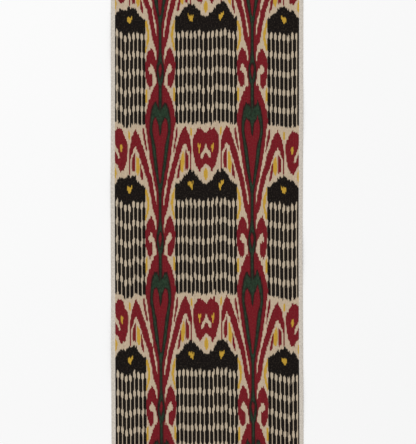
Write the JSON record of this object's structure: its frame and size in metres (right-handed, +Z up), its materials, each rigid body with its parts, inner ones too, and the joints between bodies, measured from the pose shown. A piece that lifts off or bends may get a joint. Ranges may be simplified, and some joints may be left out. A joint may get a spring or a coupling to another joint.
{
  "type": "ikat woven cloth length",
  "caption": "Flat cut length of warp ikat cloth with plain selvedges; lies face up on a level surface or hangs as a panel.",
  "frame": {"origin": "on the surface, under the middle of the cloth", "axes": "+Y along the warp towards the end that is up in the picture, +X across the cloth to the right-hand selvedge, +Z up out of the face"},
  "size_m": [0.422, 1, 0.0034],
  "materials": {
    "ikat_weave": "close warp-faced weave with a faint sheen; ecru ground with resist-dyed red, black, green and yellow figures"
  },
  "bodies": {
    "root": {"cloth": "ikat_weave"}
  },
  "joints": []
}
